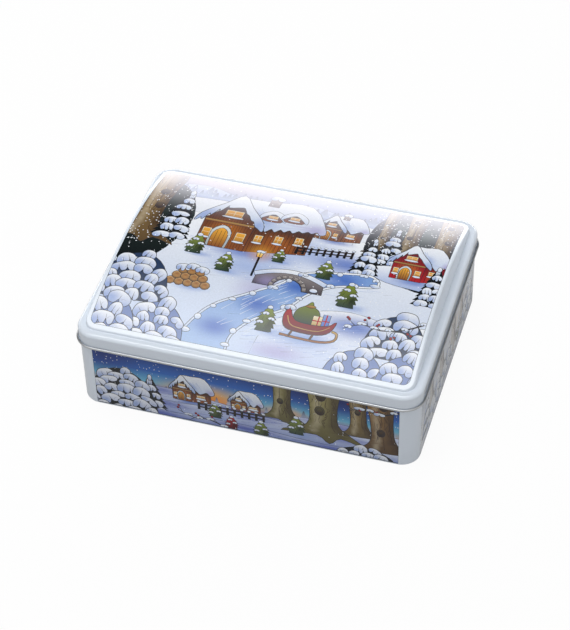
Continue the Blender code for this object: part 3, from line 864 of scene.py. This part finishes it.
# Each side's colours, and what is drawn after the bank of snow at each height: the kind
# of thing, and the values that its own function takes. The right side's print is pale: its
# inks are lightened as painted reflection, standing in for the glare on that side.
# Bark for the right side, lightened as painted reflection of the glare there
GLARE_PALED_BARK = ("#E0DCD6", "#BEB9B4", 0.4)
PRINT_PLANS = {
    "front": {
        "sky": ("#142973", "#2A66BC", "#6BB4D4", "#F29A34"), "far": "#232D4C", "stars": 170,
        "glow": ((-30, 30, 46, 15, "#F9B23C", 1.0), (-34, 26, 34, 10, "#F0791E", 0.9),
                 (66, 54, 70, 24, "#121F66", 0.9), (-104, 52, 36, 26, "#152A78", 0.8),
                 (30, 30, 20, 8, "#F6B65A", 0.8)),
        "snow": ("#D9E1F5", "#8296D0"), "shadow": "#5766BA",
        27: (("chalet", -46, 21, 16, 22, 14, 1.5), ("chalet", -4, 22, 13, 17, 10, 1.0),
             ("trunk", 28, 24, 50, 13, "#A39A62", "#5E5836"),
             ("trunk", 84, 22, 50, 12, "#A98F58", "#5F5236", 0.5, -0.05)),
        19: (("fence", -34, 15, 14, 15, 10, 8), ("trunk", 58, 17, 50, 21, "#A69C64", "#5E5836"),
             ("bush", 38, 10, 12, 17), ("bush", -22, 10, 10, 13),
             ("fir", -70, 4, 34, 24, NIGHT_GREEN, 0.45, "#A9B9E2", 8.5),
             ("trunk", 102, 11, 55, 17, "#9A7646", "#4F3C2A", 0.55, -0.08)),
        7: (("thicket", -92, -4, 52, 46, 11.5, NIGHT_GREEN, 0.5, "#B4C2E6"),
            ("bush", -10, 2, 9, 12, RED, DARK_RED),
            ("twig", [(112, 52), (98, 46), (88, 49), (76, 45)], 1.4, 1, 3.2), ("bush", 12, 0, 11, 15),
            ("twig", [(-12, 0), (-26, 6), (-38, 5), (-50, 10)], 1.3, 2, 2.6),
            ("thicket", 88, -6, 46, 16, 9, NIGHT_GREEN, 0.45, "#B4C2E6")),
    },
    # Painted reflection: all of the right side's inks are lightened for the glare on that side
    "right": {
        "sky": ("#C3CADB", "#D3DAE8", "#E2E7F0", "#EFE7E2"), "far": "#B4BDD0", "stars": 60,
        "glow": ((30, 34, 40, 14, "#F4E6D8", 0.7), (-60, 50, 40, 22, "#A7B3CA", 0.6)),
        "snow": ("#F8FAFD", "#D8DEEB"), "shadow": "#B7C1DA",
        27: (("trunk", -52, 24, 50, 10, *GLARE_PALED_BARK), ("trunk", -22, 25, 50, 12, *GLARE_PALED_BARK),
             ("trunk", 40, 24, 50, 9, *GLARE_PALED_BARK),
             ("chalet", 58, 21, 13, 17, 11, 1.0, "#B9ABA2", "#857A7A")),
        19: (("fence", 8, 15, 44, 15, 9, 8), ("trunk", 14, 16, 50, 14, *GLARE_PALED_BARK, 0.05),
             ("fir", -66, 3, 46, 28, "#808C99", 0.4, "#DAE0EB", 11),
             ("bush", 30, 10, 9, 13, "#A9B398", "#7A8880"),
             ("thicket", -4, 8, 34, 22, 10.5, "#94A0AE", 0.4, "#DAE0EB")),
        7: (("thicket", -36, -5, 44, 34, 12.5, "#A2ADBA", 0.42, "#DFE4EE"),
            ("thicket", 62, -5, 42, 38, 12.5, "#A2ADBA", 0.42, "#DFE4EE"),
            ("twig", [(-2, 0), (12, 7), (26, 6), (36, 11)], 1.1, 1, 2.4)),
    },
    "back": {
        "sky": ("#1B3488", "#3777C4", "#86C2D8", "#F2B45C"), "far": "#31406A", "stars": 80,
        "glow": ((52, 30, 48, 15, "#F9B84A", 1.0), (56, 26, 32, 9, "#EF8A34", 0.8),
                 (-60, 54, 60, 24, "#16256E", 0.8)),
        "snow": ("#E4EAF9", "#93A7D9"), "shadow": "#6878C4",
        27: (("chalet", 44, 21, 18, 24, 20, 2.0), ("trunk", -30, 24, 50, 12), ("trunk", 8, 25, 50, 10)),
        19: (("fence", 20, 15, 84, 15, 15, 8), ("trunk", -62, 16, 50, 19), ("lantern", 28, 10, 22),
             ("bush", -40, 10, 11, 16), ("bush", 78, 10, 10, 14)),
        7: (("sleigh", -8, 5, 12), ("thicket", -94, -4, 48, 38, 11, NIGHT_GREEN, 0.5, "#B4C2E6"),
            ("thicket", 96, -4, 44, 28, 10, NIGHT_GREEN, 0.5, "#B4C2E6"), ("bush", 48, 0, 10, 13)),
    },
    "left": {
        "sky": ("#22418F", "#4880C2", "#93C4D6", "#EFC08A"), "far": "#3A4A70", "stars": 60,
        "glow": ((-20, 30, 40, 14, "#F6BE6A", 0.9), (54, 54, 46, 24, "#1A2F78", 0.8)),
        "snow": ("#E6ECF9", "#9AADDC"), "shadow": "#6F82C8",
        27: (("chalet", -24, 21, 15, 20, 12, 1.2), ("trunk", 24, 24, 50, 14), ("trunk", 62, 24, 50, 11)),
        19: (("fence", -52, 15, -8, 15, 9, 8), ("lantern", -2, 9, 24), ("bush", 40, 9, 12, 17)),
        7: (("thicket", -62, -4, 42, 34, 10.5, NIGHT_GREEN, 0.5, "#B4C2E6"), ("bush", 8, 0, 11, 15),
            ("thicket", 66, -5, 40, 22, 10, NIGHT_GREEN, 0.45, "#B4C2E6")),
    },
}


def side_place(x_way, y_way, flat, wall_at, face_way):
    """Puts a side picture on its stretch of wall, its ends a little way round the corners."""

    def place(spots):
        turn = np.maximum(np.abs(spots[:, 0]) - flat, 0) / CORNER_RADIUS * np.sign(spots[:, 0])
        along = np.clip(spots[:, 0], -flat, flat) + CORNER_RADIUS * np.sin(turn)
        out = wall_at - CORNER_RADIUS * (1 - np.cos(turn))
        sideways, outwards = np.array((x_way, y_way, 0.0)), np.array((*face_way, 0.0))
        points = along[:, None] * sideways + out[:, None] * outwards + spots[:, 1:] * (0.0, 0.0, 1.0)
        return points, np.sin(turn)[:, None] * sideways + np.cos(turn)[:, None] * outwards

    return place


side_pictures = []
sides = (("front", 1, 0, (0, -1)), ("right", 0, 1, (1, 0)), ("back", -1, 0, (0, 1)), ("left", 0, -1, (-1, 0)))
for seed, (name, x_way, y_way, face_way) in enumerate(sides):
    long_side = x_way != 0
    flat = (BODY_LENGTH if long_side else BODY_DEPTH) / 2 - CORNER_RADIUS
    wall_at = (BODY_DEPTH if long_side else BODY_LENGTH) / 2
    picture = Picture((flat + PRINT_WRAP) / MM, PRINT_LOW / MM, PRINT_HIGH / MM, 0, seed)
    side_scene(picture, PRINT_PLANS[name])
    level = slab(-flat, PRINT_LOW, flat, PRINT_HIGH) / MM
    side_pictures.append(picture.printed(level, side_place(x_way, y_way, flat, wall_at, face_way)))

# Litho print: translucent inks on the enamel, under the same varnish. The inks lie
# a little unevenly. Real flecks are finer, and these are drawn coarse enough to show.
INK_FLECK = 1.1 * MM
litho, tree, shader = new_material("litho_ink_print")
set_inputs(shader, {
    "Roughness": 0.45,
    "Specular IOR Level": 0.02,
    "Coat Weight": 1.0,
    "Coat Roughness": 0.05,
    "Coat IOR": 1.5,
})
ink = add_node(tree, "ShaderNodeVertexColor", {"layer_name": "ink"})
place = add_node(tree, "ShaderNodeTexCoord")
grain = add_node(tree, "ShaderNodeTexNoise", None, {
    "Vector": place.outputs["Object"], "Scale": 1 / INK_FLECK, "Detail": 3.0, "Roughness": 0.65})
grain_level = add_node(tree, "ShaderNodeMapRange", None, {
    "Value": grain.outputs["Fac"], "From Min": 0.3, "From Max": 0.7, "To Min": 0.93, "To Max": 1.04})
toned = add_node(tree, "ShaderNodeVectorMath", {"operation": "SCALE"}, {
    0: ink.outputs["Color"], "Scale": grain_level.outputs[0]})
tree.links.new(toned.outputs[0], shader.inputs["Base Color"])

body_wall = sheet_mesh("body_wall_sheet", plan_stations(1), body_section,
                       left_out=printed_side, picture_meshes=side_pictures)
for finish in (enamel, tinplate, litho):
    body_wall.data.materials.append(finish)
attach(body_wall, "tin_body")
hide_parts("body_wall")

# The lid.
# One drawn sheet: arched picture panel, step, flat shelf, rounded shoulder and
# skirt, whose edge is rolled outwards and so shows the bare inside of the sheet.
_, lid_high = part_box("lid")
SLIP_GAP = 0.7 * MM
LID_OUTSET = SLIP_GAP + SHEET
LID_CURL_RADIUS = (lid_high.x - BODY_LENGTH / 2 - LID_OUTSET + SHEET) / 2
SHOULDER_RADIUS = 2.8 * MM
SKIRT_DEPTH = 11.4 * MM
SHELF_INSET = 4.85 * MM
PANEL_INSET = 8.2 * MM
STEP_HEIGHT = 2.5 * MM
STEP_FOOT_RADIUS = 0.35 * MM
STEP_HEAD_RADIUS = 1.2 * MM
STEP_LEAN = 85
PANEL_RISE = 14.3 * MM
SHELF_HEIGHT = lid_high.z - PANEL_RISE - STEP_HEIGHT
PANEL_STEPS = 48
half_chord = BODY_DEPTH / 2 - PANEL_INSET
ARCH_RADIUS = (half_chord ** 2 + PANEL_RISE ** 2) / (2 * PANEL_RISE)


def arch_height(y):
    """How far the arched panel stands above its own front and back edges."""
    return math.sqrt(ARCH_RADIUS ** 2 - min(abs(y), half_chord) ** 2) - (ARCH_RADIUS - PANEL_RISE)


def step_bend(inset, height, width, rise, foot_radius, head_radius, lean, top_slope):
    """A pressed step: a bend up from the flat, a steep riser, a bend into the sloping top."""
    lean_angle, slope = math.radians(lean), math.radians(top_slope)
    low = Vector((foot_radius * math.sin(lean_angle), foot_radius * (1 - math.cos(lean_angle))))
    below_top = (low - Vector((width, rise))).dot(Vector((-math.sin(slope), math.cos(slope))))
    turn = lean_angle - slope
    up_riser = (head_radius * (math.cos(turn) - 1) - below_top) / math.sin(turn)
    head_x = low.x + up_riser * math.cos(lean_angle) + head_radius * math.sin(lean_angle)
    head_z = low.y + up_riser * math.sin(lean_angle) - head_radius * math.cos(lean_angle)
    foot = bend(inset, height + foot_radius, foot_radius, -90, -90 - lean, BEND_STEPS)
    head = bend(inset + head_x, height + head_z, head_radius, 90 - lean, 90 - top_slope, BEND_STEPS)
    return foot + head + [(inset + width, height + rise, 90 - top_slope)]


def lid_section(station):
    """Curl, skirt, shoulder, shelf and step, up to the panel's edge."""
    curl_bend = LID_CURL_RADIUS - SHEET
    section = bend(-LID_OUTSET - curl_bend, SHELF_HEIGHT - SKIRT_DEPTH, curl_bend,
                   180 + CURL_TURN, 180, CURL_STEPS)
    section += bend(SHOULDER_RADIUS - LID_OUTSET, SHELF_HEIGHT - SHOULDER_RADIUS, SHOULDER_RADIUS,
                    0, 90, BEND_STEPS)
    edge_y = plan_point(station, PANEL_INSET)[1]
    rise = STEP_HEIGHT + arch_height(edge_y)
    steepness = math.degrees(math.asin(min(abs(edge_y), half_chord) / ARCH_RADIUS))
    section += step_bend(SHELF_INSET, SHELF_HEIGHT, PANEL_INSET - SHELF_INSET, rise,
                         STEP_FOOT_RADIUS, STEP_HEAD_RADIUS, STEP_LEAN, steepness * abs(station[3]))
    return section


def lid_place(spots):
    """Puts the lid's picture on the arched panel."""
    y = np.clip(spots[:, 1], -half_chord, half_chord)
    height = SHELF_HEIGHT + STEP_HEIGHT + np.sqrt(ARCH_RADIUS ** 2 - y ** 2) - (ARCH_RADIUS - PANEL_RISE)
    points = np.stack((spots[:, 0], spots[:, 1], height), axis=1)
    lean = y / ARCH_RADIUS
    facings = np.stack((np.zeros(len(y)), lean, np.sqrt(1 - lean ** 2)), axis=1)
    return points, facings


PRINT_INSET = 9.0 * MM
lid_picture = Picture((BODY_LENGTH / 2 - PRINT_INSET) / MM, -(BODY_DEPTH / 2 - PRINT_INSET) / MM,
                      (BODY_DEPTH / 2 - PRINT_INSET) / MM, 5.0, 11)
p = lid_picture
# Sky, hills and the open snow
p.lay(slab(-120, 40, 120, 90), "#8B95BE", "#9DB2DE")
p.wash(-70, 84, 80, 26, "#B0907E", 0.8)
p.drift([(-116, 64), (-80, 74), (-40, 62), (0, 72), (40, 62), (80, 70), (116, 62)],
        "#BCC9E8", "#8FA6D6", 0.35)
p.far_firs(-116, 116, 58, 58, 50, "#41527A", 12)
p.drift([(-116, 50), (-60, 56), (-10, 50), (40, 56), (80, 50), (116, 54)], SNOW, "#B4C7EA", 0.4)
p.drift([(-116, 30), (-60, 36), (-10, 30), (40, 36), (80, 30), (116, 34)], SNOW, "#C9D8F2", 0.35)
for patch in ((6, 12, 60, 26, "#9DB4E4", 0.8), (48, 6, 40, 16, DEEP_BLUE, 0.85),
              (-20, -14, 50, 18, "#9DB4E4", 0.8), (20, 44, 40, 14, LILAC, 0.7),
              (-4, -34, 30, 18, LILAC, 0.6)):
    p.wash(*patch)
p.strokes(10, 4, 90, 34, 90, BLUE_SHADE, 9, 0.35, 0.1, 0.6)
p.strokes(10, 0, 90, 34, 26, INK_LINE, 8, 0.28, 0.12, 0.4)

# The dark wood on the right, and a red cabin before it
p.lay(smooth([(56, 18), (54, 52), (64, 80), (90, 92), (122, 90), (124, 2), (100, -8), (72, 4)]),
      "#1F2A30", NIGHT_GREEN, 0.5)
p.wash(84, 60, 30, 26, "#3A5A4A", 0.8)
for x, foot, height, width in ((64, 26, 60, 8), (84, 30, 60, 12), (108, 22, 70, 14)):
    p.trunk(x, foot, height, width, "#B79A5C", "#5E4C30")
p.fir(73, 14, 44, 22, NIGHT_GREEN)
p.flakes(54, 8, 116, 82, 320, 0.6)
bank = [(62, 8), (72, -2), (92, -6), (122, -6), (124, 8), (104, 12), (80, 14)]
p.lay(smooth(bank), SNOW, "#A9BCE6", 0.35)
p.chalet(90, 2, 26, 36, 14, 3, RED, DARK_RED)
p.fir(60, 0, 40, 20, NIGHT_GREEN)
p.fir(112, -20, 40, 22, NIGHT_GREEN)

# The wood on the left
p.lay(smooth([(-122, -20), (-124, 60), (-108, 74), (-88, 60), (-76, 30), (-80, 0), (-96, -24)]),
      "#24342F", NIGHT_GREEN, 0.5)
p.trunk(-108, 0, 88, 19, "#B2925A", "#5F4A30")
p.fir(-86, 2, 58, 26, NIGHT_GREEN, 0.42, SNOW_SHADE, 11.0)
p.flakes(-116, -10, -74, 70, 160, 0.6)

# Houses, and a pale wash over the far edge that is painted reflection of the glare there
p.chalet(24, 30, 20, 30, 16, 3, "#8A5A3C", "#3A2722")
p.chimney(32, 60, 4.5)
p.chalet(-48, 0, 42, 60, 44, 8)
p.chimney(-24, 60, 8)
p.fence(8, 8, 48, 13, 9, 9)
# Painted reflection: a pale wash that whitens the far edge, as the glare from the screen behind would
p.wash(0, 106, 420, 84, "#BEBBD0", 0.85)

# The stream, its snowy banks and its bridge
left_bank = [(66, -2), (40, -6), (20, -12), (6, -26), (-14, -40), (-34, -54), (-46, -72), (-52, -92)]
right_bank = [(-20, -92), (-16, -74), (-4, -58), (16, -44), (28, -28), (46, -16), (72, -10)]
stream = smooth(left_bank + right_bank, steps=5)
p.lay(grown(stream, 1.8), SNOW, SNOW_SHADE, 0.4)
kept = p.lay(stream, "#7FA3DC", "#A9C5EC", 0.35)
for x, y in ((48, -10), (20, -24), (-4, -46), (-28, -70)):
    p.wash(x, y, 22, 12, DEEP_BLUE, 0.9, kept)
p.strokes(-6, -44, 26, 30, 46, "#E4EDFA", 8, 0.5, 0.75, 0.8)
p.bridge(12, -24, 15)
for x, y in stream[1::3]:
    p.pad(x, y, p.rough.uniform(4, 8), p.rough.uniform(2.6, 4.4), p.rough.choice((1, 2)), 0.35)

# Foreground
p.drift([(0, -96), (8, -60), (34, -44), (62, -38), (92, -42), (118, -40)], SNOW, "#B9CBEE", 0.4)
for patch in ((68, -50, 40, 14, DEEP_BLUE, 0.9), (34, -66, 34, 12, "#8FA8DE", 0.8),
              (20, -80, 30, 10, LILAC, 0.7)):
    p.wash(*patch)
p.strokes(50, -64, 60, 18, 70, BLUE_SHADE, 9, 0.35, 0.2, 0.7)
p.strokes(40, -62, 60, 18, 20, INK_LINE, 8, 0.28, 0.2, 0.4)
p.flakes(16, -80, 110, -34, 120, 0.55)
p.logs(-58, -42, 3.4)
p.lantern(-16, -22, 26)
for bush in ((-64, -10, 13, 20), (-38, -22, 12, 18), (34, -12, 12, 18),
             (56, -34, 14, 22), (6, -66, 13, 20), (-2, -4, 9, 13)):
    p.bush(*bush)
p.sleigh(36, -66, 19)
for thicket in ((-96, -62, 52, 44, 14, "#2C3E5E"), (-70, -92, 44, 34, 13, "#6F86BC"),
                (-104, -94, 40, 34, 15, "#6F86BC"), (98, -70, 44, 38, 14, "#2C3E5E"),
                (76, -96, 44, 30, 13, "#6F86BC"), (108, -98, 34, 34, 14, "#6F86BC")):
    p.thicket(*thicket, 0.5, "#A3B6E0")
p.twig([(118, -34), (102, -44), (86, -48), (72, -46), (60, -52)], 1.4, 3, 3.0)
p.flakes(-116, -30, 116, 85, 240, 0.5)
p.edge_line(0.3)

stations = plan_stations(PANEL_STEPS)
rim = [plan_point(station, PANEL_INSET) for station in stations]
lid = sheet_mesh("lid_sheet", stations, lid_section, closed=True,
                 picture_meshes=[p.printed(np.array(rim) / MM, lid_place)])
for finish in (enamel, tinplate, litho):
    lid.data.materials.append(finish)
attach(lid, "lid")
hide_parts("lid")

# The base plate.
# A second pressed sheet of tinplate. Its edge is turned down into the channel of the
# folded foot, and a low step all round stiffens it.
BASE_BEND_RADIUS = 0.6 * MM
BASE_HEIGHT = FOOT_HEIGHT + FIT_GAP + SHEET
BASE_EDGE_INSET = SHEET + FIT_GAP
BASE_RIM_WIDTH = 7.0 * MM
BASE_STEP_WIDTH = 1.6 * MM
BASE_STEP_HEIGHT = 1.0 * MM
BASE_STEP_RADIUS = 0.7 * MM
BASE_STEP_LEAN = 50


def base_section(station):
    """Edge turned down into the foot, rim, and the stiffening step."""
    section = [(BASE_EDGE_INSET, BASE_EDGE_INSET, 0)]
    section += bend(BASE_EDGE_INSET + BASE_BEND_RADIUS, BASE_HEIGHT - BASE_BEND_RADIUS,
                    BASE_BEND_RADIUS, 0, 90, BEND_STEPS)
    section += step_bend(BASE_RIM_WIDTH, BASE_HEIGHT, BASE_STEP_WIDTH, BASE_STEP_HEIGHT,
                         BASE_STEP_RADIUS, BASE_STEP_RADIUS, BASE_STEP_LEAN, 0)
    return section


# It is bare on both sides
base_plate = sheet_mesh("base_plate_sheet", plan_stations(1), base_section, closed=True)
for finish in (tinplate, tinplate):
    base_plate.data.materials.append(finish)
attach(base_plate, "tin_body")
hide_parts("base_plate")

# The stage.
# A plain pale floor in a pale room, brightest low down behind the tin, as from a white
# screen, and less so at its sides. One cloth lamp hangs high to the left, one above it.
STAGE_SIZE = 6.0
FLOOR_GREY = 0.42
FLOOR_WHITE = 1.1
FLOOR_SEEN = 0.85
FLOOR_MIRRORED = 0.2
BACK_WAY = (-0.33, 0.94, 0.0)
SIDE_WAY = (0.94, 0.33, 0.0)
ROOM_LIGHT = 0.57
BACK_WALL_LIGHT = 0.05
SCREEN_LIGHT = 4.2
SIDE_LIGHT = 0.3
half_stage = STAGE_SIZE / 2
floor_data = bpy.data.meshes.new("floor")
floor_corners = [(x, y, 0) for x, y in slab(-half_stage, -half_stage, half_stage, half_stage)]
floor_data.from_pydata(floor_corners, [], [(0, 1, 2, 3)])
floor = bpy.data.objects.new("floor", floor_data)
bpy.context.scene.collection.objects.link(floor)
floor_white, tree, shader = new_material("white_paper_floor")
set_inputs(shader, {"Base Color": (FLOOR_GREY, FLOOR_GREY, FLOOR_GREY, 1.0), "Roughness": 0.9})
light_path = add_node(tree, "ShaderNodeLightPath")
mirrored = add_node(tree, "ShaderNodeMath", {"operation": "ADD"}, {
    0: light_path.outputs["Is Glossy Ray"], 1: light_path.outputs["Is Transmission Ray"]})
mirrored = add_node(tree, "ShaderNodeMath", {"operation": "MULTIPLY"}, {
    0: mirrored.outputs[0], 1: FLOOR_MIRRORED})
seen = add_node(tree, "ShaderNodeMath", {"operation": "MULTIPLY_ADD"}, {
    0: light_path.outputs["Is Camera Ray"], 1: FLOOR_SEEN, 2: mirrored.outputs[0]})
white = add_node(tree, "ShaderNodeEmission", None, {"Strength": FLOOR_WHITE})
mix = add_node(tree, "ShaderNodeMixShader", None, {
    0: seen.outputs[0], 1: shader.outputs[0], 2: white.outputs[0]})
tree.links.new(mix.outputs[0], tree.nodes["Material Output"].inputs["Surface"])
floor_data.materials.append(floor_white)

world = bpy.data.worlds.new("studio")
bpy.context.scene.world = world
world.use_nodes = True
tree = world.node_tree
room = tree.nodes["Background"]
room.inputs["Color"].default_value = (1, 1, 1, 1)
view_way = add_node(tree, "ShaderNodeTexCoord").outputs["Generated"]
backward = add_node(tree, "ShaderNodeVectorMath", {"operation": "DOT_PRODUCT"}, {0: view_way, 1: BACK_WAY})
sideward = add_node(tree, "ShaderNodeVectorMath", {"operation": "DOT_PRODUCT"}, {0: view_way, 1: SIDE_WAY})
aside = add_node(tree, "ShaderNodeMath", {"operation": "ABSOLUTE"}, {0: sideward.outputs["Value"]})
height = add_node(tree, "ShaderNodeSeparateXYZ", None, {0: view_way})
eased = {"interpolation_type": "SMOOTHSTEP"}
walls = add_node(tree, "ShaderNodeMapRange", eased, {
    "Value": backward.outputs["Value"], "From Min": -0.3, "From Max": 0.5,
    "To Min": ROOM_LIGHT, "To Max": BACK_WALL_LIGHT})
screen = add_node(tree, "ShaderNodeMapRange", eased, {
    "Value": backward.outputs["Value"], "From Min": 0.55, "From Max": 0.95,
    "To Min": 0.0, "To Max": SCREEN_LIGHT})
side_walls = add_node(tree, "ShaderNodeMapRange", eased, {
    "Value": aside.outputs[0], "From Min": 0.3, "From Max": 0.95, "To Min": 0.0, "To Max": SIDE_LIGHT})
low = add_node(tree, "ShaderNodeMapRange", eased, {
    "Value": height.outputs["Z"], "From Min": 0.12, "From Max": 0.5, "To Min": 1.0, "To Max": 0.0})
screens = add_node(tree, "ShaderNodeMath", {"operation": "ADD"}, {
    0: screen.outputs[0], 1: side_walls.outputs[0]})
light = add_node(tree, "ShaderNodeMath", {"operation": "MULTIPLY_ADD"}, {
    0: screens.outputs[0], 1: low.outputs[0], 2: walls.outputs[0]})
light_path = add_node(tree, "ShaderNodeLightPath")
strength = add_node(tree, "ShaderNodeMix", {"data_type": "FLOAT"}, {
    0: light_path.outputs["Is Camera Ray"], 2: light.outputs[0], 3: 1.0})
tree.links.new(strength.outputs[0], room.inputs["Strength"])

# A lamp behind cloth is brightest in its middle: this share of an even one's light is left
FALLOFF_SHARE = 0.236


def soft_lamp(name, place, aim, size, power):
    """A rectangular lamp that fades out towards its edges."""
    data = bpy.data.lights.new(name, "AREA")
    data.shape = "RECTANGLE"
    data.size, data.size_y = size
    data.energy = power / FALLOFF_SHARE
    data.use_nodes = True
    tree = data.node_tree
    place_on = add_node(tree, "ShaderNodeNewGeometry")
    off_centre = add_node(tree, "ShaderNodeVectorMath", {"operation": "DISTANCE"}, {
        0: place_on.outputs["Parametric"], 1: (0.5, 0.5, 0.0)})
    falloff = add_node(tree, "ShaderNodeMapRange", eased, {
        "Value": off_centre.outputs["Value"], "From Min": 0.0, "From Max": 0.5, "To Min": 1.0, "To Max": 0.0})
    tree.links.new(falloff.outputs[0], tree.nodes["Emission"].inputs["Strength"])
    lamp = bpy.data.objects.new(name, data)
    lamp.location = place
    lamp.rotation_mode = "QUATERNION"
    lamp.rotation_quaternion = (Vector(aim) - Vector(place)).to_track_quat("-Z", "Y")
    bpy.context.scene.collection.objects.link(lamp)


soft_lamp("overhead_box", (-0.46, 0.22, 2.0), (-0.46, 0.22, 0), (1.9, 2.3), 13.5)
soft_lamp("wide_sheet", (0, -0.3, 2.0), (0, 0, 0), (3.0, 3.0), 9)

# The camera, where the photograph was taken from
CAMERA_AZIMUTH = 17.65
CAMERA_ELEVATION = 43.91
CAMERA_ROLL = -1.44
CAMERA_DISTANCE = 1.4911
CAMERA_AIM = Vector((0.0025, -0.0024, 0.0319))
LENS = 116.24
azimuth, elevation = math.radians(CAMERA_AZIMUTH), math.radians(CAMERA_ELEVATION)
back = Vector((math.sin(azimuth) * math.cos(elevation), -math.cos(azimuth) * math.cos(elevation),
               math.sin(elevation)))
camera_data = bpy.data.cameras.new("camera")
camera_data.lens = LENS
camera = bpy.data.objects.new("camera", camera_data)
bpy.context.scene.collection.objects.link(camera)
turn = (-back).to_track_quat("-Z", "Y").to_matrix() @ Matrix.Rotation(math.radians(CAMERA_ROLL), 3, "Z")
camera.matrix_world = Matrix.Translation(CAMERA_AIM + back * CAMERA_DISTANCE) @ turn.to_4x4()
bpy.context.scene.camera = camera
bpy.context.scene.view_settings.view_transform = "Standard"
